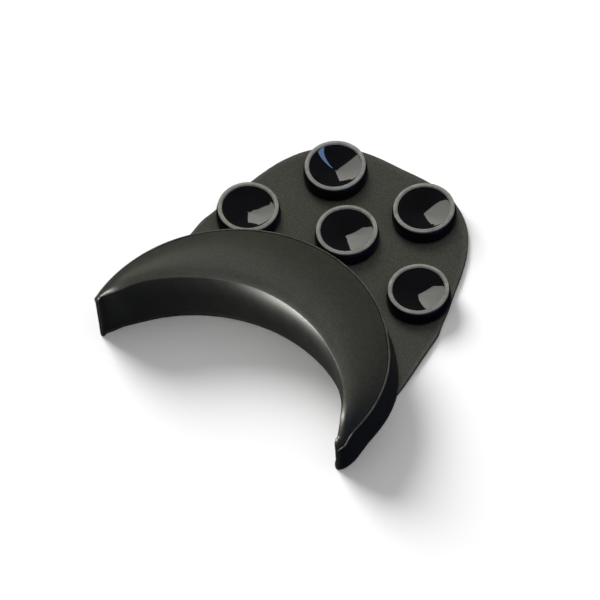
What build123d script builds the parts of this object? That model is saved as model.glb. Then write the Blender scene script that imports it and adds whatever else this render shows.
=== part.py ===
from build123d import *
import math
import os

os.makedirs("parts", exist_ok=True)

# Salon neck rest for a shampoo bowl, lying on its back with its suction cups up.
# X is across the rest, +Y runs from the horns' tips to the free end of the tongue, +Z is up.
# The origin is at the bottom centre of the whole rest's box.

# ---- driving dimensions, millimetres ----
PLATE_T = 3.2            # thickness of the rubber backing sheet
LIP_Z = 3.2              # top of the sheet's lip under the pad
OUTER_R = 100.9          # radius of the crescent's outer wall
OUTER_CY = -128.1        # its centre, from the middle cup's centre
INNER_R = 109.3          # radius of the neck side
INNER_CY = -192.2        # its centre, from the middle cup's centre
LEAN = 0.235             # the crescent leans towards its horns by this much for each unit of height
SEAM_Z = 40.1            # height of the seam on the outer wall
RIDGE_Z = 57.6           # height of the pad's ridge
WALL_T = 3.2             # thickness of the moulded outer wall
SKIN_T = 2.8             # thickness of the pad's skin
CORE_END = 74.0          # the filling ends at this angle along each horn, in degrees

CUP_R = 20.0             # outer radius of a suction cup at its rim
CUP_FOOT_R = 20.5        # outer radius at its foot
CUP_TOP_Z = 15.5         # height of the rim's plane
CUP_FOOT_Z = 4.6         # underside of the cup's foot, above the sheet
CUP_RIM_W = 2.8          # width of the flat rim
CUP_DEPTH = 5.6          # depth of the cone inside the cup
CUP_AT = {               # cup centres, from the middle cup's centre
    "suction_cup_middle": (0.0, 0.0),
    "suction_cup_near_left": (-65.2, -16.8),
    "suction_cup_near_right": (65.2, -16.8),
    "suction_cup_far_left": (-34.0, 40.3),
    "suction_cup_far_right": (34.0, 40.3),
}
NECK_R = 5.0             # neck of a cup, through the sheet
HOLE_R = 5.05            # its hole
BOSS_R, BOSS_Z = 9.0, 6.0        # raised boss round the hole, hidden inside the cup's foot
HEAD_R = 7.8             # button head on the neck
SEAT_R, SEAT_Z = 8.3, 2.9        # recess in the back that holds the head
HEAD_Z = 1.4             # underside of the head at rest
POCKET_R, POCKET_Z = 10.6, 7.6   # hollow in the cup's underside, over the boss
TRAVEL = 1.3             # how far a cup presses down

HINGE_Y = -37.5          # the line where the tongue flexes
HINGE_Z = PLATE_T / 2
FLEX_UP = 25.0           # degrees that the tongue turns up from flat
GAP = 0.12               # running clearance at the flex line
WALL_GAP = 1.0           # clearance between the tongue's edge and the outer wall

# half width of the sheet's outline at a distance along Y from the middle cup's centre
OUTLINE = [(92.5, -86.7), (92.4, -71.8), (91.7, -58.2), (91.2, -45.3), (90.3, -32.4),
           (88.6, -26.5), (86.7, -17.5), (82.0, 0.0), (77.6, 16.8), (71.8, 32.4),
           (68.3, 38.8), (64.1, 45.3), (58.0, 52.0), (50.0, 58.2), (39.0, 63.6), (26.0, 66.6)]
TONGUE_END = 67.3
Y0 = 45.08               # moves the middle cup's centre to where the box is centred


def tab(rows, a):
    """A value from a table of (angle, value) rows, smoothly between them."""
    if a <= rows[0][0]:
        return rows[0][1]
    for (a0, v0), (a1, v1) in zip(rows, rows[1:]):
        if a <= a1:
            t = (a - a0) / (a1 - a0)
            return v0 + (v1 - v0) * t
    return rows[-1][1]


def inner_rho(a):
    """Distance from the outer wall's centre to the neck side's circle at angle a."""
    d = OUTER_CY - INNER_CY
    c = 2 * d * math.cos(math.radians(a))
    return (-c + math.sqrt(c * c - 4 * (d * d - INNER_R * INNER_R))) / 2


RHO_O = [(0, OUTER_R), (93, OUTER_R), (97, 100.6), (100, 99.6), (102, 98.2), (103.5, 96.4)]
RHO_I = [(78, inner_rho(78)), (84, 81.2), (88, 84.4), (92, 87.0), (96, 89.0), (99, 90.2), (101.5, 91.0), (103.5, 91.4)]
RHO_FOOT = [(84, inner_rho(84)), (88, inner_rho(88) + 0.4), (92, 91.0), (96, 93.6), (99, 94.2), (101.5, 93.6), (103.5, 92.6)]
Z_SEAM = [(0, SEAM_Z), (90, SEAM_Z), (94, 39.6), (97, 38.2), (99.5, 35.6), (101.5, 32.0), (103.5, 27.0)]
Z_RIDGE = [(0, RIDGE_Z), (60, 57.0), (80, 55.6), (88, 54.0), (93, 51.4), (97, 47.4), (100.5, 41.0), (103.5, 32.0)]
BULGE = [(0, 6.8), (60, 6.8), (85, 5.8), (95, 3.6), (103.5, 0.6)]
ROUND = [(0, 13.0), (60, 12.0), (80, 9.0), (90, 6.0), (97, 3.6), (103.5, 2.0)]


def rho_i(a):
    """Distance from the outer wall's centre to the neck side under the ridge."""
    return inner_rho(a) if a < 78 else tab(RHO_I, a)


def rho_foot(a):
    """The same at the sheet's edge, which is further out near the tips."""
    return inner_rho(a) if a < 84 else tab(RHO_FOOT, a)


def pad_curve(a, n_crown=6, n_in=9):
    """The pad's outer curve at angle a, as (rho, z), from the seam over the ridge to the lip."""
    ro, ri, zs, zr, b, w = (tab(RHO_O, a), rho_i(a), tab(Z_SEAM, a), tab(Z_RIDGE, a),
                            tab(BULGE, a), tab(ROUND, a))
    w = min(w, 0.45 * (ro - ri))
    rf = rho_foot(a)
    zm = 0.44 * zr
    top = ri + w
    pts = []
    for i in range(n_crown):
        t = i / n_crown
        pts.append((ro + (top - ro) * t, zs + (zr - zs) * (1 - (1 - t) ** 2.2)))
    for i in range(n_in + 1):
        u = i / n_in
        p = math.pi / 2 * u
        e = 2 / 2.5
        pts.append((top - (w + b) * math.sin(p) ** e, zm + (zr - zm) * math.cos(p) ** e))
    for i in range(1, n_in + 1):
        p = math.pi / 2 * i / n_in
        e = 2 / 2.1
        pts.append((ri - b + (rf - ri + b) * (1 - math.cos(p) ** e), zm - (zm - LIP_Z) * math.sin(p) ** e))
    return pts


def place(rho, z, a):
    """A point of the leaning crescent."""
    t = math.radians(a)
    return (rho * math.sin(t), OUTER_CY + rho * math.cos(t) - LEAN * z, z)


def spaced(pts, n):
    """n points evenly along a polyline."""
    d = [0.0]
    for p, q in zip(pts, pts[1:]):
        d.append(d[-1] + math.dist(p, q))
    out = []
    k = 0
    for i in range(n):
        s = d[-1] * i / (n - 1)
        while k < len(d) - 2 and d[k + 1] < s:
            k += 1
        t = (s - d[k]) / (d[k + 1] - d[k])
        out.append(tuple(u + (v - u) * t for u, v in zip(pts[k], pts[k + 1])))
    return out


def section(a, inset=0.0):
    """One closed wire of the crescent at angle a, or of its filling where inset is the skin's thickness."""
    s = abs(a)
    curve = pad_curve(s)
    ro, ri = tab(RHO_O, s), rho_i(s)
    if inset:
        moved = []
        for i, p in enumerate(curve):
            q0, q1 = curve[max(0, i - 1)], curve[min(len(curve) - 1, i + 1)]
            dx, dz = q1[0] - q0[0], q1[1] - q0[1]
            m = math.hypot(dx, dz)
            moved.append((p[0] - dz / m * inset, p[1] + dx / m * inset))
        # the filling runs a little into the wall and the sheet, which are cut from it
        rw = ro - 0.5 * WALL_T
        zf = 0.5 * PLATE_T
        curve = [p for p in moved if p[0] < rw - 1.0 and p[1] > zf + 2.0]
        curve = [(rw, tab(Z_SEAM, s) - 0.4)] + curve + [(curve[-1][0] + 1.2, zf)]
        pts = spaced(curve, 15)
        bottom, wall = (pts[-1][0], zf), (rw, zf)
        ring = [Spline(*[place(r, z, a) for r, z in pts]),
                Line(place(*pts[-1], a), place(*wall, a)),
                Line(place(*wall, a), place(*pts[0], a))]
        return Wire(ring)
    pts = spaced(curve, 17)
    return Wire([
        Line(place(ro, 0, a), place(*pts[0], a)),
        Spline(*[place(r, z, a) for r, z in pts]),
        Line(place(*pts[-1], a), place(pts[-1][0], 0, a)),
        Line(place(pts[-1][0], 0, a), place(ro, 0, a)),
    ])


def crescent(angles, inset=0.0):
    return Solid.make_loft([section(a, inset) for a in angles])


def prism(points, z0, z1):
    return extrude(Plane.XY.offset(z0) * make_face(Polyline(*points, close=True)), z1 - z0)


# ---- one half of the crescent's whole envelope and of its filling ----
ANGLES = [0, 12, 24, 36, 47, 57, 66, 74, 81, 87, 92, 96, 99, 101.5, 103.5]
envelope = crescent(ANGLES)
filling = crescent([a for a in ANGLES if a <= CORE_END], SKIN_T)


def wall_inner(a):
    return tab(RHO_O, a) - min(WALL_T, 0.5 * (tab(RHO_O, a) - rho_foot(a)))


def leaning(outline, z1=70.0):
    """A closed solid over an outline on the ground, leaning as the crescent does."""
    low = Polyline(*[(x, y, 0) for x, y in outline], close=True).wires()[0]
    high = Polyline(*[(x, y - LEAN * z1, z1) for x, y in outline], close=True).wires()[0]
    return Solid.make_loft([low, high], ruled=True)


FINE = [i * 103.5 / 23 for i in range(24)]


def arc_outline(rho):
    """Half an outline inside the arc whose radius at each angle is rho(angle)."""
    pts = [(rho(a) * math.sin(math.radians(a)), OUTER_CY + rho(a) * math.cos(math.radians(a))) for a in FINE]
    return [(-5.0, -175.0), (-5.0, pts[0][1])] + pts + [(60.0, -175.0)]


def box_at(x0, x1, y0, y1, z0, z1):
    return Pos((x0 + x1) / 2, (y0 + y1) / 2, (z0 + z1) / 2) * Box(x1 - x0, y1 - y0, z1 - z0)


floor = box_at(-5, 150, -200, 100, -5, PLATE_T)

# everything under the seam's surface, which dips at the tips of the horns
seam_line = []
for a in [90, 92, 94, 95.5, 97, 98.3, 99.5, 100.5, 101.5, 102.5, 103.5]:
    z = tab(Z_SEAM, a)
    seam_line.append((OUTER_CY + tab(RHO_O, a) * math.cos(math.radians(a)) - LEAN * z, z))
profile = [(-5.0, -1.0), (-5.0, SEAM_Z)] + seam_line + [(-185.0, 20.0), (-185.0, -1.0)]
under_seam = extrude(Plane.YZ.offset(-5) * make_face(Polyline(*profile, close=True)), 150)

# ---- the moulded base: the sheet under the crescent, the outer wall up to the seam, the wings ----
wall = (envelope & under_seam) - leaning(arc_outline(wall_inner))
bed = envelope & floor

# the sheet's outline: tongue and wings
rim = [(-x, y) for x, y in OUTLINE] + [(0.0, TONGUE_END)] + [(x, y) for x, y in OUTLINE[::-1]]
edge = Spline(*rim)
sheet = extrude(make_face(Wire([edge, Line(rim[-1], rim[0])])), PLATE_T)
half_sheet = sheet & box_at(0, 150, -200, 100, -5, 20)


# the flex line: a round edge on the tongue in a groove on the base
def swept(angle):
    """The tongue's slab, turned about the flex line."""
    slab = box_at(-5, 150, 0, 60, -PLATE_T / 2 - GAP, PLATE_T / 2 + GAP)
    return Pos(0, HINGE_Y, HINGE_Z) * Rot(angle, 0, 0) * slab


front = box_at(-5, 150, HINGE_Y, 120, -5, 30)
roll = Pos(75, HINGE_Y, HINGE_Z) * Rot(0, 90, 0) * Cylinder(PLATE_T / 2, 160)
around = Pos(75, HINGE_Y, HINGE_Z) * Rot(0, 90, 0) * Cylinder(PLATE_T / 2 + GAP, 160)

wings = half_sheet - leaning(arc_outline(lambda a: tab(RHO_O, a) - 0.3)) - front - around - swept(FLEX_UP) - swept(0)
half_base = wall + bed + wings
half_tongue = (half_sheet & (front + roll)) - leaning(arc_outline(lambda a: tab(RHO_O, a) + WALL_GAP))
half_core = filling - wall - floor
half_skin = envelope - wall - floor - filling


def whole(half):
    return half + mirror(half, Plane.YZ)


base_shell = whole(half_base)
pad_skin = whole(half_skin)
pad_core = whole(half_core)
tongue = whole(half_tongue)
for x, y in CUP_AT.values():
    tongue += Pos(x, y, BOSS_Z / 2) * Cylinder(BOSS_R, BOSS_Z)
for x, y in CUP_AT.values():
    tongue -= Pos(x, y, 5) * Cylinder(HOLE_R, 20)
    tongue -= Pos(x, y, SEAT_Z / 2 - 1) * Cylinder(SEAT_R, SEAT_Z + 2)

# ---- a suction cup, with its neck and button head, as one turned solid ----
cone = CUP_R - CUP_RIM_W
cup_profile = [
    (0, HEAD_Z), (HEAD_R - 1.4, HEAD_Z), (HEAD_R, HEAD_Z + 0.9), (HEAD_R, SEAT_Z - 0.02),
    (NECK_R, SEAT_Z - 0.02), (NECK_R, POCKET_Z), (POCKET_R, POCKET_Z), (POCKET_R, CUP_FOOT_Z),
    (CUP_FOOT_R - 0.6, CUP_FOOT_Z), (CUP_FOOT_R, CUP_FOOT_Z + 0.8), (CUP_R + 0.05, CUP_TOP_Z - 0.7),
    (CUP_R - 0.6, CUP_TOP_Z), (cone, CUP_TOP_Z), (cone - 0.5, CUP_TOP_Z - 0.45),
    (1.6, CUP_TOP_Z - CUP_DEPTH), (0, CUP_TOP_Z - CUP_DEPTH),
]
cup = revolve(Plane.XZ * make_face(Polyline(*cup_profile, close=True)), Axis.Z)

nodes = {"base_shell": base_shell, "pad_skin": pad_skin, "pad_core": pad_core, "tongue": tongue}
for name, (x, y) in CUP_AT.items():
    nodes[name] = Pos(x, y, 0) * cup

for name, shape in nodes.items():
    shape = Pos(0, Y0, 0) * shape
    solids = shape.solids()
    whole = solids[0] if len(solids) == 1 else Compound(children=list(solids))
    export_step(whole, f"parts/{name}.step")
    b = whole.bounding_box()
    print(name, len(solids), "solids", round(whole.volume), "mm3",
          [round(v, 2) for v in (b.min.X, b.min.Y, b.min.Z, b.max.X, b.max.Y, b.max.Z)])
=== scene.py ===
import math

import bmesh
import bpy
import numpy as np
from mathutils import Matrix, Vector, noise


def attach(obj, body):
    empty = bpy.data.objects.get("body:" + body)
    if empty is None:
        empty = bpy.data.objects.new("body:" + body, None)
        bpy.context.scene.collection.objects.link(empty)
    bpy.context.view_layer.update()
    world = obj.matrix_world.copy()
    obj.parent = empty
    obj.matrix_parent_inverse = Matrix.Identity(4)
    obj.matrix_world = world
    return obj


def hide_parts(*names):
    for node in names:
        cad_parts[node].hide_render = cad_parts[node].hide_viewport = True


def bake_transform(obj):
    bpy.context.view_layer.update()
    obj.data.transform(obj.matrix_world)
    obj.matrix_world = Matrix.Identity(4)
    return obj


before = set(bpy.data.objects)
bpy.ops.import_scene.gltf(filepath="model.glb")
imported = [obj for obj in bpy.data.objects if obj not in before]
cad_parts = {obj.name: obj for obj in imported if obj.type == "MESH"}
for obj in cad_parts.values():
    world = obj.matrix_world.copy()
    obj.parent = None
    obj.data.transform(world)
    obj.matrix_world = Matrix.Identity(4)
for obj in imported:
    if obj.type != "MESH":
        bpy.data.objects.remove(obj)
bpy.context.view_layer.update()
MM = 0.001

# ---------------------------------------------------------------- the rest's own dimensions, millimetres
# X across, +Y towards the tongue's free end, +Z up; Y is from the middle cup's centre until Y0 is added.
Y0 = 45.08
PLATE_T, LIP_Z = 3.2, 3.2
OUTER_CY, INNER_CY, INNER_R = -128.1, -192.2, 109.3
LEAN = 0.235
CUP_AT = {
    "suction_cup_middle": (0.0, 0.0),
    "suction_cup_near_left": (-65.2, -16.8),
    "suction_cup_near_right": (65.2, -16.8),
    "suction_cup_far_left": (-34.0, 40.3),
    "suction_cup_far_right": (34.0, 40.3),
}
OUTLINE = [(26.0, 66.6), (39.0, 63.6), (50.0, 58.2), (58.0, 52.0), (64.1, 45.3), (68.3, 38.8), (71.8, 32.4),
           (77.6, 16.8), (82.0, 0.0), (86.7, -17.5), (88.6, -26.5), (90.3, -32.4), (91.2, -45.3), (91.7, -58.2),
           (92.4, -71.8), (92.5, -86.7)]
TONGUE_END = 67.3


def curve_through(rows):
    """A smooth function through (x, y) rows that never overshoots them."""
    xs, ys = [float(r[0]) for r in rows], [float(r[1]) for r in rows]
    n = len(xs)
    d = [(ys[i + 1] - ys[i]) / (xs[i + 1] - xs[i]) for i in range(n - 1)]
    m = [0.0] * n
    for i in range(1, n - 1):
        if d[i - 1] * d[i] > 0:
            w1 = 2 * (xs[i + 1] - xs[i]) + (xs[i] - xs[i - 1])
            w2 = (xs[i + 1] - xs[i]) + 2 * (xs[i] - xs[i - 1])
            m[i] = (w1 + w2) / (w1 / d[i - 1] + w2 / d[i])
    m[0], m[-1] = 0.0 if rows[0][0] == 0 else d[0], d[-1]

    def f(x):
        if x <= xs[0]:
            return ys[0]
        if x >= xs[-1]:
            return ys[-1]
        i = next(k for k in range(n - 1) if x <= xs[k + 1])
        h = xs[i + 1] - xs[i]
        t = (x - xs[i]) / h
        return ((2 * t**3 - 3 * t**2 + 1) * ys[i] + (t**3 - 2 * t**2 + t) * h * m[i]
                + (-2 * t**3 + 3 * t**2) * ys[i + 1] + (t**3 - t**2) * h * m[i + 1])

    return f


def inner_circle(a):
    d = OUTER_CY - INNER_CY
    c = 2 * d * math.cos(math.radians(a))
    return (-c + math.sqrt(c * c - 4 * (d * d - INNER_R * INNER_R))) / 2


def sided(right, left=None):
    """A function of the signed angle round the crescent, positive to the right, from one or two tables."""
    fr, fl = curve_through(right), curve_through(left or right)
    return lambda a: fr(a) if a >= 0 else fl(-a)


# the left horn is trimmed shorter and blunter than the right one, whose end rolls down to the ground
rho_out = sided([(0, 100.9), (50, 100.9), (64, 101.5), (80, 100.9), (90, 100.1), (96, 99.4), (100, 98.8), (102, 98.2), (104, 97.2),
                 (105.2, 96.4)],
                [(0, 100.9), (93, 100.9), (97, 101.2), (100, 101.8)])
_rho_in = sided([(70, inner_circle(70)), (78, inner_circle(78)), (84, 81.2), (88, 84.4), (92, 87.0), (96, 89.0), (99, 90.2),
                 (101.5, 91.0), (105.2, 91.6)],
                [(70, inner_circle(70)), (78, inner_circle(78)), (84, 81.2), (88, 84.2), (92, 88.4), (95, 92.4), (97, 95.6),
                 (99, 99.0)])
_rho_foot = sided([(76, inner_circle(76)), (84, inner_circle(84)), (88, inner_circle(88) + 0.4), (92, 90.2), (96, 90.8),
                   (99, 90.2), (101.5, 89.4), (105.2, 88.6)],
                  [(76, inner_circle(76)), (84, inner_circle(84)), (88, inner_circle(88) + 0.4), (92, 91.6), (95, 94.4),
                   (97, 97.0), (99, 99.7)])
z_seam = sided([(0, 40.1), (90, 40.1), (94, 39.8), (97, 38.3), (99.5, 35.2), (101.5, 31.0), (103.5, 25.0), (105.2, 18.5)],
               [(0, 40.1), (90, 40.1), (94, 40.3), (99, 41.2)])
z_ridge = sided([(0, 57.4), (60, 56.9), (80, 55.5), (88, 53.9), (93, 51.0), (96, 47.8), (99, 42.4), (101.5, 36.2), (103.5, 29.6),
                 (105.2, 21.8)],
                [(0, 57.4), (60, 56.9), (80, 55.5), (88, 53.0), (92, 50.4), (95, 47.8), (99, 43.4)])
bulge = sided([(0, 7.2), (45, 6.4), (65, 5.6), (85, 4.8), (95, 3.2), (105.2, 0.5)],
              [(0, 7.2), (30, 6.6), (60, 5.8), (80, 4.8), (88, 3.0), (93, 1.2), (99, 0.2)])
# the ridge is a fold in the skin. Its crest stands back from the neck side, the crown rolls over towards the fold,
# and the neck side leaves the fold at a steeper angle
crest_back = sided([(0, 12.0), (50, 11.5), (70, 8.5), (85, 5.0), (95, 3.0), (105.2, 1.2)],
                   [(0, 12.0), (50, 11.0), (70, 8.5), (85, 5.0), (94, 1.8), (99, 0.7)])
crest_drop = sided([(0, 2.4), (50, 2.3), (65, 2.0), (85, 1.3), (95, 0.8), (105.2, 0.3)],
                   [(0, 2.4), (40, 2.5), (65, 2.4), (85, 1.3), (94, 0.35), (99, 0.1)])
fold_w = sided([(0, 2.8), (45, 2.4), (65, 1.4), (80, 0.7), (95, 0.5), (105.2, 0.3)],
               [(0, 2.8), (20, 2.5), (40, 1.6), (60, 0.8), (80, 0.4), (99, 0.3)])
fold_a = sided([(0, 28.0), (45, 28.5), (62, 32.0), (80, 38.0), (105.2, 42.0)],
               [(0, 28.0), (14, 29.0), (35, 36.0), (60, 42.0), (99, 45.0)])
# near the tips the outer wall draws in towards its foot
draw_in = sided([(0, 0.0), (60, 0.0), (75, 1.6), (90, 3.8), (96, 2.6), (101, 0.9), (105.2, 0.0)],
                [(0, 0.0), (70, 0.0), (85, 0.8), (99, 0.2)])
lean_at = sided([(0, LEAN), (92, LEAN), (99, 0.20), (105.2, 0.14)], [(0, LEAN), (84, LEAN), (91, 0.19), (95, 0.12), (99, 0.05)])


def rho_in(a):
    return inner_circle(a) if abs(a) < 76 else _rho_in(a)


def rho_foot(a):
    return inner_circle(a) if abs(a) < 80 else _rho_foot(a)


def place(rho, z, a):
    """A point of the leaning crescent, in metres in the row frame."""
    t = math.radians(a)
    return Vector((rho * math.sin(t) * MM, (OUTER_CY + rho * math.cos(t) - lean_at(a) * z + Y0) * MM, z * MM))


# ---------------------------------------------------------------- mesh helpers
def mesh_object(name, verts, faces, smooth=True):
    me = bpy.data.meshes.new(name)
    me.from_pydata([tuple(v) for v in verts], [], faces)
    me.validate()
    me.update()
    o = bpy.data.objects.new(name, me)
    bpy.context.scene.collection.objects.link(o)
    for p in me.polygons:
        p.use_smooth = smooth
    return o


def fix_normals(o):
    bm = bmesh.new()
    bm.from_mesh(o.data)
    bmesh.ops.recalc_face_normals(bm, faces=bm.faces[:])
    bm.to_mesh(o.data)
    bm.free()


def sharpen(o, degrees):
    """Marks edges sharper than an angle, and leaves the rest smooth."""
    bm = bmesh.new()
    bm.from_mesh(o.data)
    for e in bm.edges:
        e.smooth = not (len(e.link_faces) == 2 and e.calc_face_angle(0) > math.radians(degrees))
    for f in bm.faces:
        f.smooth = True
    bm.to_mesh(o.data)
    bm.free()


def lofted(name, rings, caps=True):
    """A closed tube through rings of equal count, with triangulated ends."""
    n, verts, faces = len(rings[0]), [], []
    for r in rings:
        verts += r
    for i in range(len(rings) - 1):
        for j in range(n):
            k = (j + 1) % n
            faces.append((i * n + j, i * n + k, (i + 1) * n + k, (i + 1) * n + j))
    o = mesh_object(name, verts, faces)
    if caps:
        bm = bmesh.new()
        bm.from_mesh(o.data)
        bm.verts.ensure_lookup_table()
        last = (len(rings) - 1) * n
        ends = [bm.faces.new([bm.verts[j] for j in range(n)]), bm.faces.new([bm.verts[last + j] for j in reversed(range(n))])]
        bmesh.ops.triangulate(bm, faces=ends, quad_method="BEAUTY", ngon_method="BEAUTY")
        for f in bm.faces:
            f.smooth = True
        bm.to_mesh(o.data)
        bm.free()
    fix_normals(o)
    return o


def set_attribute(o, name, values):
    a = o.data.attributes.new(name, "FLOAT", "POINT")
    a.data.foreach_set("value", np.array(values, np.float32))


def add_subdivision(o, levels=1):
    m = o.modifiers.new("Subdivision", "SUBSURF")
    m.levels = m.render_levels = levels
    m.use_limit_surface = False
    return m


def apply_modifiers(o):
    dg = bpy.context.evaluated_depsgraph_get()
    me = bpy.data.meshes.new_from_object(o.evaluated_get(dg), preserve_all_data_layers=True, depsgraph=dg)
    o.modifiers.clear()
    o.data = me


# ---------------------------------------------------------------- the padded roll
A_LEFT, A_RIGHT = 97.4, 102.4            # the sections stop here, and a rounded nose closes each tip


def pad_section(a):
    """The pad's closed section at angle a, as (rho, z, wear and painted highlight): groove, crown, ridge, neck side,
    underside. The third number pales the colour at the groove and the fold, partly edge wear and partly a painted
    highlight line.
    """
    ro, ri, rf, zs, zr = rho_out(a), rho_in(a), rho_foot(a), z_seam(a), z_ridge(a)
    b, w, f0, draw = bulge(a), fold_w(a), math.radians(fold_a(a)), draw_in(a)
    thick = ro - draw - rf
    wall = min(3.3, 0.42 * thick)
    w = min(w, 0.3 * (ro - ri))
    back, drop = min(crest_back(a), 0.5 * (ro - ri)), crest_drop(a)
    zm, tuck = 0.49 * zr, min(0.95, 0.2 * thick)
    fold, crest = ri + w, ri + max(back, w + 0.5)
    zf = zr - drop
    pts = [(ro - wall, zs - 5.0, 0), (ro - tuck - 0.8, zs - 2.4, 0), (ro - tuck - 0.1, zs - 0.9, 0.0)]
    n = 11
    for i in range(n):
        t = (i / n) ** 0.9
        r = ro - tuck + (crest - ro + tuck) * t
        z = zs - 0.15 + (zr - zs + 0.15) * (1 - (1 - t) ** 2.15) ** 0.92
        pts.append((r, z, 0.25 if i == 0 else 0.0))
    n = 5
    for i in range(n):
        t = i / n
        pts.append((crest + (fold - crest) * t, zr - drop * t * t, 0.0))
    # the fold itself, about 1 mm across
    soft = min(0.5, 0.3 * (crest - fold))
    # the fold's marks pale its colour: partly edge wear, partly a painted highlight line
    pts.append((fold + soft, zf + 2 * drop * soft / max(1.0, crest - fold), 0.3))
    pts.append((fold - 0.1, zf - 0.05, 0.6))
    big_a, big_b = (b + w) / (1 - math.sin(f0)), (zf - zm) / math.cos(f0)
    cx = ri - b + big_a
    n = 15
    for i in range(1, n + 1):
        p = f0 + (math.pi / 2 - f0) * (i / n) ** 1.25
        pts.append((cx - big_a * math.sin(p), zm + big_b * math.cos(p), 0.4 if i == 1 else 0.0))
    n = 9
    for i in range(1, n + 1):
        p = math.pi / 2 * i / n
        e = 2 / 2.1
        pts.append((ri - b + (rf - ri + b) * (1 - math.cos(p) ** e), zm - (zm - LIP_Z - 0.1) * math.sin(p) ** e, 0.0))
    inset = min(2.0, 0.25 * thick)
    pts += [(rf + inset, LIP_Z + 0.05, 0), ((rf + ro - draw) / 2, LIP_Z + 0.05, 0), (ro - wall - draw, LIP_Z + 0.05, 0),
            (ro - wall - 0.65 * draw, 0.35 * zs, 0), (ro - wall - 0.3 * draw, 0.7 * zs, 0)]
    return pts


def horn_rings(section, step, nose=7, swell=1.0):
    """Rings of a section function from one tip to the other, with a rounded nose at each."""
    count = int(round((A_LEFT + A_RIGHT) / step))
    angles = [-A_LEFT + (A_LEFT + A_RIGHT) * i / count for i in range(count + 1)]
    rings, marks = [], []

    def nose_rings(end):
        sec = section(end)
        lo, hi = min(p[0] for p in sec), max(p[0] for p in sec)
        mid, half = (lo + hi) / 2, (hi - lo) / 2
        reach = math.degrees(half / mid) * swell
        out = []
        for k in range(1, nose + 1):
            phi = math.radians(84) * k / nose
            c = math.cos(phi)
            ring = []
            for r, z, _ in sec:
                # the right tip rolls down, and its foot runs on a little further than its top
                toe, roll = (1 + 0.25 * max(0.0, 1 - z / 26), 0.32) if end > 0 else (1.0, 0.05)
                ring.append(place(mid + (r - mid) * c, z * (1 - roll * (1 - c)), end + math.copysign(reach * toe * math.sin(phi), end)))
            out.append((ring, [p[2] for p in sec]))
        return out

    for ring, mk in reversed(nose_rings(-A_LEFT)):
        rings.append(ring)
        marks.append(mk)
    for a in angles:
        sec = section(a)
        rings.append([place(p[0], p[1], a) for p in sec])
        marks.append([p[2] for p in sec])
    for ring, mk in nose_rings(A_RIGHT):
        rings.append(ring)
        marks.append(mk)
    return rings, marks


rings, marks = horn_rings(pad_section, 1.6, swell=1.45)
pad = lofted("pad_roll", rings)
set_attribute(pad, "wear_and_painted_highlight", [v for m in marks for v in m])
# the rubber skin over its soft filling is never dead true: slow, shallow unevenness, less at the seam
for v in pad.data.vertices:
    p = v.co / MM
    slow = noise.noise(Vector((p.x * 0.022, p.y * 0.022, p.z * 0.03)) + Vector((3.1, 7.7, 1.3)))
    mid = noise.noise(Vector((p.x * 0.07, p.y * 0.07, p.z * 0.07)))
    amount = (0.16 * slow + 0.035 * mid) * min(1.0, max(0.0, (p.z - 6) / 8))
    v.co += v.normal * amount * MM
add_subdivision(pad, 1)

# ---------------------------------------------------------------- the moulded shell: outer wall, seam lip and bed
def shell_section(a):
    """The shell's closed section at angle a: outer wall from the ground to the seam's lip, down inside, along the bed to its edge."""
    ro, rf, zs, draw = rho_out(a), rho_foot(a), z_seam(a), draw_in(a)
    thick = ro - draw - rf
    wall = min(3.2, 0.4 * thick)
    k = min(1.0, thick / 12)

    def outer(z):
        return ro - draw * (1 - z / zs)

    pts = [(outer(0) - 1.1, 0.0, 0), (outer(0) - 0.35, 0.22, 0.3), (outer(1), 0.95, 0.3)]
    for i in range(1, 8):
        z = 0.95 + (zs - 3.2) * i / 7
        pts.append((outer(z), z, 0))
    # the seam's lip here and the bed's lip below are marked to take the pale edge colour: partly wear, partly a painted
    # highlight line
    pts += [(ro + 0.02, zs - 1.75, 0.0), (ro + 0.35, zs - 1.35, 0.5), (ro + 0.5, zs - 0.85, 0.9), (ro + 0.45, zs - 0.3, 1.0),
            (ro + 0.15, zs + 0.08, 1.0), (ro - 0.35, zs + 0.16, 1.0), (ro - 0.75, zs + 0.02, 0.8), (ro - 0.95, zs - 0.45, 0),
            (ro - 1.2, zs - 2.6, 0)]
    pts += [(outer(z) - wall, z, 0) for z in (zs - 5.5, 0.6 * zs, 0.3 * zs, 5.0)]
    pts += [(outer(PLATE_T) - wall - 0.6 * k, PLATE_T, 0), ((outer(0) + rf) / 2, PLATE_T, 0)]
    lip = 1.8 * k + 0.1
    pts += [(rf + 0.8 * k, PLATE_T, 0), (rf - 0.35 * k, PLATE_T - 0.02, 0.4), (rf - lip + 0.25, PLATE_T - 0.18, 1.0),
            (rf - lip, PLATE_T - 0.7, 0.8), (rf - lip, 0.75, 0.3), (rf - lip + 0.25, 0.2, 0.2), (rf - lip + 0.9 * k + 0.2, 0.0, 0),
            ((outer(0) + rf) / 2, 0.0, 0)]
    return pts


rings, marks = horn_rings(shell_section, 1.6, swell=1.25)
shell = lofted("moulded_shell", rings)
set_attribute(shell, "wear_and_painted_highlight", [v for m in marks for v in m])
add_subdivision(shell, 1)

# ---------------------------------------------------------------- the flexible sheet: tongue and wings in one piece
edge_polar = [(0.0, TONGUE_END - OUTER_CY)]
for x, y in OUTLINE:
    edge_polar.append((math.degrees(math.atan2(x, y - OUTER_CY)), math.hypot(x, y - OUTER_CY)))
edge_polar.append((67.6, 99.7))
rho_edge = curve_through(edge_polar)
A_SHEET = 67.4


def edge_xy(a):
    s = abs(a)
    r = rho_edge(s)
    return Vector((r * math.sin(math.radians(a)), OUTER_CY + r * math.cos(math.radians(a))))


def edge_normal(a):
    d = 0.25
    p, q = edge_xy(max(-A_SHEET, a - d)), edge_xy(min(A_SHEET, a + d))
    t = (q - p).normalized()
    return Vector((-t.y, t.x)) if Vector((-t.y, t.x)).dot(edge_xy(a) - Vector((0, OUTER_CY))) > 0 else Vector((t.y, -t.x))


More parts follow.
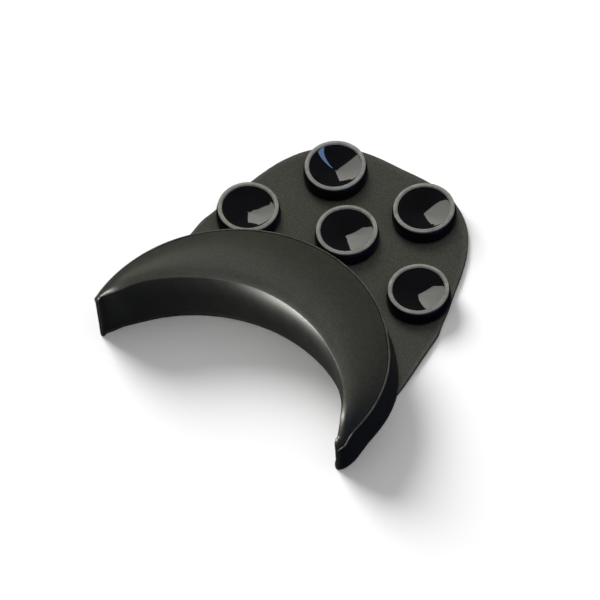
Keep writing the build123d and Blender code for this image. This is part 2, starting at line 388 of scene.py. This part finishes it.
COLS, ROWS = 150, 46
sheet_rings = []
for i in range(COLS + 1):
    a = -A_SHEET + 2 * A_SHEET * i / COLS
    t = math.radians(a)
    inner = Vector(((rho_out(a) - 2.3) * math.sin(t), OUTER_CY + (rho_out(a) - 2.3) * math.cos(t)))
    outer, nrm = edge_xy(a), edge_normal(a)
    span = (outer - inner).length
    r = min(1.15, 0.4 * span)
    rim_pts = [(0.0, r), (0.5, 0.29 * r), (0.86, 0.0)]

    def at(inset):
        return outer - nrm * inset

    col_top, col_bottom = [], []
    for j in range(ROWS + 1):
        u = j / ROWS
        p = inner.lerp(at(r * 1.7), u)
        col_top.append((p.x, p.y, PLATE_T))
        col_bottom.append((p.x, p.y, 0.0))
    edge = []
    for k in range(1, 8):
        ph = math.pi * k / 8
        p = at(r - r * math.sin(ph) ** 0.8)
        edge.append((p.x, p.y, PLATE_T / 2 + math.copysign(abs(math.cos(ph)) ** 0.62, math.cos(ph)) * PLATE_T / 2))
    loop = col_top + edge + list(reversed(col_bottom))
    sheet_rings.append([Vector((x * MM, (y + Y0) * MM, z * MM)) for x, y, z in loop])
sheet = lofted("flexible_sheet", sheet_rings)
n_loop = len(sheet_rings[0])
# the sheet's rounded edge is marked to take the pale edge colour: partly wear, partly a painted highlight line
wear_and_painted_highlight = []
for i in range(COLS + 1):
    wear_and_painted_highlight += [0.0] * (ROWS - 1) + [0.35, 0.8] + [1.0, 1.0, 0.6, 0.3, 0.2, 0.1, 0.1] + [0.0] * (ROWS + 1)
set_attribute(sheet, "wear_and_painted_highlight", wear_and_painted_highlight)
# slight waviness of a thin rubber moulding, none where the cups and the crescent hold it
for v in sheet.data.vertices:
    p = v.co / MM
    away = min(math.hypot(p.x - x, p.y - Y0 - y) for x, y in CUP_AT.values())
    free = min(1.0, max(0.0, (away - 22) / 10)) * min(1.0, max(0.0, (math.hypot(p.x, p.y - Y0 - OUTER_CY) - 104) / 10))
    wave = noise.noise(Vector((p.x * 0.03, p.y * 0.03, 2.0)))
    if p.z > 1.0:
        v.co.z += 0.22 * wave * free * MM * (1 if p.z > 2.5 else 0.5)


def drill(o, radius, z0, z1, at):
    """Round seats cut in the sheet's back, one under each cup."""
    seg = 64
    verts, faces = [], []
    for cx, cy in at:
        base = len(verts)
        for z, r in ((z0, radius), (z1 - 0.5, radius), (z1, radius - 0.5)):
            for k in range(seg):
                t = 2 * math.pi * k / seg
                verts.append(((cx + r * math.cos(t)) * MM, (cy + Y0 + r * math.sin(t)) * MM, z * MM))
        faces.append([base + k for k in reversed(range(seg))])
        faces.append([base + 2 * seg + k for k in range(seg)])
        for lvl in (0, 1):
            for k in range(seg):
                k2 = (k + 1) % seg
                faces.append((base + lvl * seg + k, base + lvl * seg + k2, base + (lvl + 1) * seg + k2, base + (lvl + 1) * seg + k))
    cutter = mesh_object("cutter", verts, faces)
    fix_normals(cutter)
    m = o.modifiers.new("Seats", "BOOLEAN")
    m.operation, m.solver, m.object = "DIFFERENCE", "EXACT", cutter
    apply_modifiers(o)
    bpy.data.objects.remove(cutter)


drill(sheet, 8.3, -2.0, 2.9, list(CUP_AT.values()))
sharpen(sheet, 38)

# ---------------------------------------------------------------- suction cups
# (radius, height, material) round the section, from the head's underside over the body and rim to the recess's centre.
# material: 0 body, 1 rim, 2 recess
CUP = [
    (0.0, 1.42, 0), (5.9, 1.40, 0), (6.9, 1.50, 0), (7.5, 1.85, 0), (7.75, 2.35, 0), (7.75, 2.72, 0), (7.6, 2.86, 0), (5.2, 2.88, 0),
    (5.0, 3.1, 0), (5.0, 7.2, 0), (5.4, 7.6, 0), (10.2, 7.6, 0), (10.6, 7.2, 0), (10.7, 5.0, 0), (11.0, 4.65, 0), (15.0, 4.6, 0),
    (19.9, 4.6, 0), (20.7, 4.8, 0), (21.05, 5.3, 0), (21.15, 6.2, 0), (21.1, 8.0, 0), (20.95, 10.0, 0), (20.75, 11.6, 0),
    (20.5, 12.4, 0), (20.1, 12.72, 0), (19.8, 12.95, 0), (19.74, 13.25, 0), (19.86, 13.5, 0), (20.0, 13.7, 1), (20.05, 14.3, 1),
    (20.0, 14.85, 1), (19.75, 15.16, 1), (19.4, 15.25, 1), (19.05, 15.24, 1), (18.92, 15.28, 1), (18.8, 15.42, 1), (18.6, 15.5, 1),
    (18.05, 15.5, 1), (17.75, 15.42, 1), (17.5, 15.15, 1), (17.36, 14.85, 1), (17.1, 14.68, 2), (16.8, 14.54, 2), (15.6, 14.1, 2), (14.0, 13.48, 2), (12.0, 12.74, 2),
    (10.0, 12.02, 2), (8.0, 11.33, 2), (6.0, 10.66, 2), (4.2, 10.08, 2), (3.0, 9.71, 2), (2.0, 9.42, 2), (1.2, 9.24, 2),
    (0.6, 9.16, 2), (0.0, 9.14, 2),
]
SEG = 96


def make_cup(name, node, wobble):
    cx, cy = CUP_AT[node]
    pts = [p for p in CUP if p[0] > 0]
    verts, faces, mats, wear_and_painted_highlight = [], [], [], []
    for r, z, m in pts:
        for k in range(SEG):
            t = 2 * math.pi * k / SEG
            # soft rubber rims are never quite round or flat
            out = 1 + (0.004 * math.sin(2 * t + wobble) + 0.002 * math.sin(3 * t + 2.1 * wobble)) * min(1, max(0, (z - 6) / 8)) * (r > 12)
            cone = max(0.0, min(1.0, (17.2 - r) / 4)) * min(1.0, r / 6) * (m == 2)
            warp = cone * (0.20 * math.sin(2 * t + 2.3 * wobble) + 0.13 * math.sin(3 * t + 4.1 * wobble) + 0.07 * math.sin(5 * t + 1.9 * wobble))
            lift = warp + 0.16 * math.sin(2 * t + 1.7 * wobble) * min(1, max(0, (z - 9) / 6)) * min(1, max(0, (r - 9) / 8))
            verts.append(((cx + r * out * math.cos(t)) * MM, (cy + Y0 + r * out * math.sin(t)) * MM, (z + lift) * MM))
            wear_and_painted_highlight.append(1.0 if m == 1 and z > 15.1 else 0.35 if 12.2 < z and m < 2 else 0.0)
    first, last = len(verts), len(verts) + 1
    verts += [(cx * MM, (cy + Y0) * MM, CUP[0][1] * MM), (cx * MM, (cy + Y0) * MM, CUP[-1][1] * MM)]
    wear_and_painted_highlight += [0.0, 0.0]
    for i in range(len(pts) - 1):
        for k in range(SEG):
            k2 = (k + 1) % SEG
            faces.append((i * SEG + k, i * SEG + k2, (i + 1) * SEG + k2, (i + 1) * SEG + k))
            mats.append(max(pts[i][2], pts[i + 1][2]) if pts[i + 1][2] == 2 and pts[i][2] == 2 else min(pts[i][2], pts[i + 1][2]) if pts[i][2] != 1 else 1)
    n = len(pts)
    for k in range(SEG):
        k2 = (k + 1) % SEG
        faces.append((k2, k, first))
        mats.append(0)
        faces.append(((n - 1) * SEG + k, (n - 1) * SEG + k2, last))
        mats.append(2)
    o = mesh_object(name, verts, faces)
    for p, m in zip(o.data.polygons, mats):
        p.material_index = m
    fix_normals(o)
    set_attribute(o, "wear_and_painted_highlight", wear_and_painted_highlight)
    sharpen(o, 50)
    return o


cups = {}
for k, node in enumerate(CUP_AT):
    cups[node] = make_cup(node.replace("suction_cup", "cup"), node, 0.9 + 1.3 * k)


# ---------------------------------------------------------------- materials
def nodes_of(name):
    m = bpy.data.materials.new(name)
    m.use_nodes = True
    t = m.node_tree
    t.nodes.clear()
    out = t.nodes.new("ShaderNodeOutputMaterial")
    b = t.nodes.new("ShaderNodeBsdfPrincipled")
    t.links.new(b.outputs[0], out.inputs["Surface"])
    return m, t, b


def add(t, kind, **values):
    n = t.nodes.new(kind)
    for k, v in values.items():
        if hasattr(n, k):
            setattr(n, k, v)
        else:
            n.inputs[k.replace("_", " ")].default_value = v
    return n


def noise_node(t, coords, scale, detail=3.0, rough=0.55, lac=2.0):
    n = t.nodes.new("ShaderNodeTexNoise")
    n.inputs["Scale"].default_value = scale
    n.inputs["Detail"].default_value = detail
    n.inputs["Roughness"].default_value = rough
    n.inputs["Lacunarity"].default_value = lac
    t.links.new(coords, n.inputs["Vector"])
    return n.outputs["Fac"]


def ramp(t, fac, stops):
    n = t.nodes.new("ShaderNodeValToRGB")
    while len(n.color_ramp.elements) < len(stops):
        n.color_ramp.elements.new(0.5)
    for e, (p, c) in zip(n.color_ramp.elements, stops):
        e.position, e.color = p, (c if len(c) == 4 else (*c, 1.0))
    t.links.new(fac, n.inputs[0])
    return n.outputs[0]


def remap(t, fac, a0, a1, b0, b1):
    n = t.nodes.new("ShaderNodeMapRange")
    for k, v in zip(("From Min", "From Max", "To Min", "To Max"), (a0, a1, b0, b1)):
        n.inputs[k].default_value = v
    t.links.new(fac, n.inputs["Value"])
    return n.outputs[0]


def math_node(t, op, a, b):
    n = t.nodes.new("ShaderNodeMath")
    n.operation = op
    for i, v in enumerate((a, b)):
        if isinstance(v, (int, float)):
            n.inputs[i].default_value = v
        else:
            t.links.new(v, n.inputs[i])
    return n.outputs[0]


def mix_color(t, fac, a, b, blend="MIX"):
    n = t.nodes.new("ShaderNodeMix")
    n.data_type, n.blend_type = "RGBA", blend
    for s, v in ((0, fac), (6, a), (7, b)):
        if isinstance(v, (int, float)):
            n.inputs[s].default_value = v
        elif isinstance(v, tuple):
            n.inputs[s].default_value = (*v, 1.0)
        else:
            t.links.new(v, n.inputs[s])
    return n.outputs[2]


def bump(t, height, strength, distance, normal=None):
    n = t.nodes.new("ShaderNodeBump")
    n.inputs["Strength"].default_value = strength
    n.inputs["Distance"].default_value = distance
    t.links.new(height, n.inputs["Height"])
    if normal is not None:
        t.links.new(normal, n.inputs["Normal"])
    return n.outputs[0]


def matte_rubber(name, dark, light, edge, rough=(0.46, 0.62), spec=0.5, grain=0.00006, sheen=0.0, dust=0.35, bloom=0.12):
    """Moulded matte rubber: fine spark-eroded grain, slow mottling, a dusty bloom, and paler marked edges, partly
    handling wear and partly a painted highlight.
    """
    m, t, b = nodes_of(name)
    co = t.nodes.new("ShaderNodeTexCoord").outputs["Object"]
    slow = noise_node(t, co, 14.0, 3.0)
    mid = noise_node(t, co, 95.0, 4.0, 0.6)
    fine = noise_node(t, co, 1500.0, 4.0, 0.65)
    speck = noise_node(t, co, 620.0, 2.0, 0.5)
    wear_and_painted_highlight = t.nodes.new("ShaderNodeAttribute")
    wear_and_painted_highlight.attribute_name = "wear_and_painted_highlight"
    body = mix_color(t, remap(t, slow, 0.2, 0.8, 0.0, 1.0), dark, light)
    body = mix_color(t, math_node(t, "MULTIPLY", remap(t, mid, 0.4, 0.75, 0.0, 1.0), bloom), body, edge)
    specks = ramp(t, speck, [(0.66, (0, 0, 0)), (0.74, (1, 1, 1))])
    body = mix_color(t, math_node(t, "MULTIPLY", specks, dust), body, edge)
    # marked edges, lips and folds take the pale edge colour: partly handling wear, partly a painted highlight line
    body = mix_color(t, math_node(t, "MULTIPLY", wear_and_painted_highlight.outputs["Fac"], remap(t, mid, 0.3, 0.7, 0.25, 0.7)), body, edge)
    salt = noise_node(t, co, 880.0, 2.0, 0.75)
    body = mix_color(t, 0.8, body, ramp(t, salt, [(0.36, (0.45, 0.45, 0.45)), (0.66, (1.0, 1.0, 1.0))]), "MULTIPLY")
    t.links.new(body, b.inputs["Base Color"])
    r = remap(t, mid, 0.3, 0.7, rough[0], rough[1])
    r = math_node(t, "ADD", r, math_node(t, "MULTIPLY", fine, 0.05))
    r = math_node(t, "SUBTRACT", r, math_node(t, "MULTIPLY", wear_and_painted_highlight.outputs["Fac"], 0.06))
    t.links.new(r, b.inputs["Roughness"])
    b.inputs["Specular IOR Level"].default_value = spec
    b.inputs["Sheen Weight"].default_value = sheen
    b.inputs["Sheen Roughness"].default_value = 0.5
    n1 = bump(t, mid, 0.25, 0.00025)
    n2 = bump(t, fine, 0.55, grain, n1)
    t.links.new(n2, b.inputs["Normal"])
    return m


def rim_rubber(name):
    """The cups' flat rims: ground matte and pale grey, with fine turned rings."""
    m, t, b = nodes_of(name)
    co = t.nodes.new("ShaderNodeTexCoord").outputs["Object"]
    mid = noise_node(t, co, 160.0, 4.0, 0.6)
    fine = noise_node(t, co, 1800.0, 3.0, 0.6)
    slow = noise_node(t, co, 40.0, 2.0)
    c = mix_color(t, remap(t, mid, 0.3, 0.7, 0.0, 1.0), RIM_DARK, RIM_LIGHT)
    c = mix_color(t, remap(t, slow, 0.45, 0.75, 0.0, 0.5), c, RIM_DARK)
    t.links.new(c, b.inputs["Base Color"])
    t.links.new(remap(t, fine, 0.3, 0.7, 0.34, 0.48), b.inputs["Roughness"])
    b.inputs["Specular IOR Level"].default_value = 0.55
    t.links.new(bump(t, fine, 0.4, 0.00004, bump(t, mid, 0.2, 0.0002)), b.inputs["Normal"])
    return m


def polished_rubber(name, base, painted_blue_cast, rough, coat, grain, spec=0.5):
    """Polished black rubber: near mirror, with faint smears and a few settled specks, mottled towards a bluish tone
    that is a painted blue cast of shade.
    """
    m, t, b = nodes_of(name)
    co = t.nodes.new("ShaderNodeTexCoord").outputs["Object"]
    slow = noise_node(t, co, 60.0, 3.0)
    smear = noise_node(t, co, 220.0, 4.0, 0.6)
    speck = noise_node(t, co, 900.0, 2.0)
    c = mix_color(t, remap(t, slow, 0.3, 0.7, 0.0, 1.0), base, painted_blue_cast)
    specks = ramp(t, speck, [(0.72, (0, 0, 0)), (0.78, (1, 1, 1))])
    c = mix_color(t, math_node(t, "MULTIPLY", specks, 0.25), c, (0.05, 0.05, 0.05))
    t.links.new(c, b.inputs["Base Color"])
    r = remap(t, smear, 0.3, 0.75, rough[0], rough[1])
    r = math_node(t, "ADD", r, math_node(t, "MULTIPLY", specks, 0.15))
    t.links.new(r, b.inputs["Roughness"])
    b.inputs["Specular IOR Level"].default_value = spec
    b.inputs["Coat Weight"].default_value = coat
    b.inputs["Coat Roughness"].default_value = rough[0]
    b.inputs["Coat IOR"].default_value = 1.6
    t.links.new(bump(t, slow, 0.25, grain), b.inputs["Normal"])
    return m


RIM_DARK, RIM_LIGHT = (0.13, 0.13, 0.12), (0.24, 0.24, 0.222)
skin_mat = matte_rubber("pad_skin_rubber", (0.029, 0.029, 0.0245), (0.038, 0.038, 0.032), (0.075, 0.075, 0.064),
                        rough=(0.41, 0.46), spec=0.40, grain=0.00006, bloom=0.08)
# the shell is the same rubber as the pad; its darker, faintly bluer base colour is painted shade on its walls
shell_mat_painted_shade = matte_rubber("moulded_rubber", (0.0145, 0.0145, 0.015), (0.019, 0.019, 0.019), (0.12, 0.119, 0.105),
                         rough=(0.48, 0.58), spec=0.28, grain=0.00006, dust=0.1, bloom=0.015)
sheet_mat = matte_rubber("sheet_rubber", (0.040, 0.040, 0.0345), (0.051, 0.051, 0.0445), (0.083, 0.083, 0.073),
                         rough=(0.56, 0.68), spec=0.3, grain=0.00008)
rim_mat = rim_rubber("cup_rim_rubber")
# the bluish second tones of the recess and the body are a painted blue cast of shade
recess_mat = polished_rubber("cup_recess_rubber", (0.0015, 0.0015, 0.002), (0.003, 0.003, 0.0045), (0.03, 0.09), 1.0, 0.00012)
body_mat = polished_rubber("cup_body_rubber", (0.003, 0.003, 0.005), (0.005, 0.005, 0.009), (0.28, 0.38), 0.0, 0.00005, spec=0.08)

pad.data.materials.append(skin_mat)
shell.data.materials.append(shell_mat_painted_shade)
sheet.data.materials.clear()
sheet.data.materials.append(sheet_mat)
for c in cups.values():
    for m in (body_mat, rim_mat, recess_mat):
        c.data.materials.append(m)

# ---------------------------------------------------------------- riding on the frame
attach(pad, "rest")
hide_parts("pad_skin", "pad_core")
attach(shell, "rest")
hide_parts("base_shell")
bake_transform(sheet)
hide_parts("tongue")
for node, c in cups.items():
    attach(c, node)
    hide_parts(node)

# ---------------------------------------------------------------- floor, light, camera
bpy.ops.mesh.primitive_plane_add(size=30, location=(0, 0, -0.0003))
floor = bpy.context.object
floor.name = "studio_floor"
fm, ft, fb = nodes_of("studio_floor")
fco = ft.nodes.new("ShaderNodeTexCoord").outputs["Object"]
ft.links.new(mix_color(ft, noise_node(ft, fco, 3.0, 2.0), (0.91, 0.91, 0.91), (0.93, 0.93, 0.93)), fb.inputs["Base Color"])
fb.inputs["Roughness"].default_value = 0.95
fb.inputs["Specular IOR Level"].default_value = 0.1
fb.inputs["Emission Color"].default_value = (1, 1, 1, 1)
fb.inputs["Emission Strength"].default_value = 0.10
floor.visible_diffuse = floor.visible_glossy = False
floor.data.materials.append(fm)

world = bpy.data.worlds.new("studio")
bpy.context.scene.world = world
world.use_nodes = True
wt = world.node_tree
wt.nodes["Background"].inputs[0].default_value = (1.0, 1.0, 1.0, 1.0)
# the ground seen past the floor's edge is white, and the room's own fill is dim
path = wt.nodes.new("ShaderNodeLightPath")
wm = wt.nodes.new("ShaderNodeMapRange")
wm.inputs["To Min"].default_value, wm.inputs["To Max"].default_value = 0.03, 1.0
wt.links.new(path.outputs["Is Camera Ray"], wm.inputs["Value"])
wt.links.new(wm.outputs[0], wt.nodes["Background"].inputs[1])


def aim(o, at, target):
    o.location = Vector(at)
    o.rotation_mode = "QUATERNION"
    o.rotation_quaternion = (Vector(target) - Vector(at)).to_track_quat("-Z", "Y")


def area(name, direction, distance, size, power, color=(1, 1, 1), target=(0, 0.02, 0.02)):
    l = bpy.data.lights.new(name, "AREA")
    l.shape, l.size, l.size_y = "RECTANGLE", size[0], size[1]
    l.energy, l.color = power, color
    o = bpy.data.objects.new(name, l)
    bpy.context.scene.collection.objects.link(o)
    aim(o, Vector(target) + Vector(direction).normalized() * distance, target)
    o.visible_camera = False
    return o


def sun(name, direction, energy, spread, color):
    l = bpy.data.lights.new(name, "SUN")
    l.energy, l.angle, l.color = energy, math.radians(spread), color
    o = bpy.data.objects.new(name, l)
    bpy.context.scene.collection.objects.link(o)
    aim(o, Vector(direction) * 3, (0, 0, 0))
    o.visible_glossy = False
    return o


room = sun("key", (-0.42, 0.37, 0.83), 2.35, 26, (1.0, 0.995, 0.93)), sun("overhead", (0.20, 0.10, 0.97), 1.8, 60, (1.0, 0.995, 0.95))
ground = (sun("floor_key", (-0.80, 0.28, 0.62), 3.7, 34, (1.0, 1.0, 1.0)),
          sun("floor_fill", (0.10, 0.10, 1.0), 0.95, 80, (1.0, 1.0, 1.0)))
# the ground has its own pair of suns, so that its soft shadow can lie further out than the shading on the rubber
for lamps, state in ((room, "EXCLUDE"), (ground, "INCLUDE")):
    group = bpy.data.collections.new("floor_" + state.lower())
    group.objects.link(floor)
    group.collection_objects[0].light_linking.link_state = state
    for lamp in lamps:
        lamp.light_linking.receiver_collection = group

WARM = (1.0, 0.99, 0.92)
back_box = area("softbox_back", (-0.70, 0.46, 0.55), 1.0, (0.70, 0.74), 2.2, color=WARM)
front_box = area("softbox_front", (-0.61, -0.75, 0.24), 0.9, (0.54, 0.50), 36.0, color=WARM, target=(0, -0.05, 0.05))
fill = area("fill_blue", (0.93, -0.25, 0.30), 0.9, (0.6, 0.4), 1.0, color=(0.22, 0.40, 1.0))
fill.light_linking.receiver_collection = room[0].light_linking.receiver_collection
# the two soft boxes only make the highlights, and the front one only those on the roll
back_box.visible_diffuse = front_box.visible_diffuse = False
group = bpy.data.collections.new("front_include")
for name in ("pad_roll", "moulded_shell"):
    group.objects.link(bpy.data.objects[name])
for k in range(len(group.collection_objects)):
    group.collection_objects[k].light_linking.link_state = "INCLUDE"
front_box.light_linking.receiver_collection = group
# a narrow cool strip, for the far left cup alone, its length along the streak it makes there
strip = area("strip_over", (0.205, 0.264, 0.941), 0.36, (0.085, 0.130), 0.10, color=(0.30, 0.56, 1.0), target=(-0.034, 0.085, 0.012))
z_axis = Vector((0.205, 0.264, 0.941)).normalized()
y_axis = Vector((0.93, -0.37, 0.0))
y_axis = (y_axis - z_axis * y_axis.dot(z_axis)).normalized()
strip.rotation_quaternion = Matrix((y_axis.cross(z_axis), y_axis, z_axis)).transposed().to_quaternion()
group = bpy.data.collections.new("strip_include")
group.objects.link(cups["suction_cup_far_left"])
group.collection_objects[0].light_linking.link_state = "INCLUDE"
strip.light_linking.receiver_collection = group

cam = bpy.data.cameras.new("camera")
co = bpy.data.objects.new("camera", cam)
bpy.context.scene.collection.objects.link(co)
right, up, back = Vector((0.84676, 0.53039, -0.04100)), Vector((-0.40943, 0.69897, 0.58635)), Vector((0.3397, -0.4797, 0.8090))
target, distance = Vector((0.0037, -0.0183, 0.0155)), 9.0
pose = Matrix((right, up, back)).transposed().to_4x4()
pose.translation = target + back.normalized() * distance
co.matrix_world = pose
cam.sensor_width, cam.lens = 36.0, 36.0 * distance / 0.3882
cam.clip_start, cam.clip_end = 0.1, 60.0
cam.dof.use_dof = False
bpy.context.scene.camera = co
bpy.context.scene.view_settings.view_transform = "Standard"
bpy.context.scene.view_settings.look = "None"

bpy.context.view_layer.update()
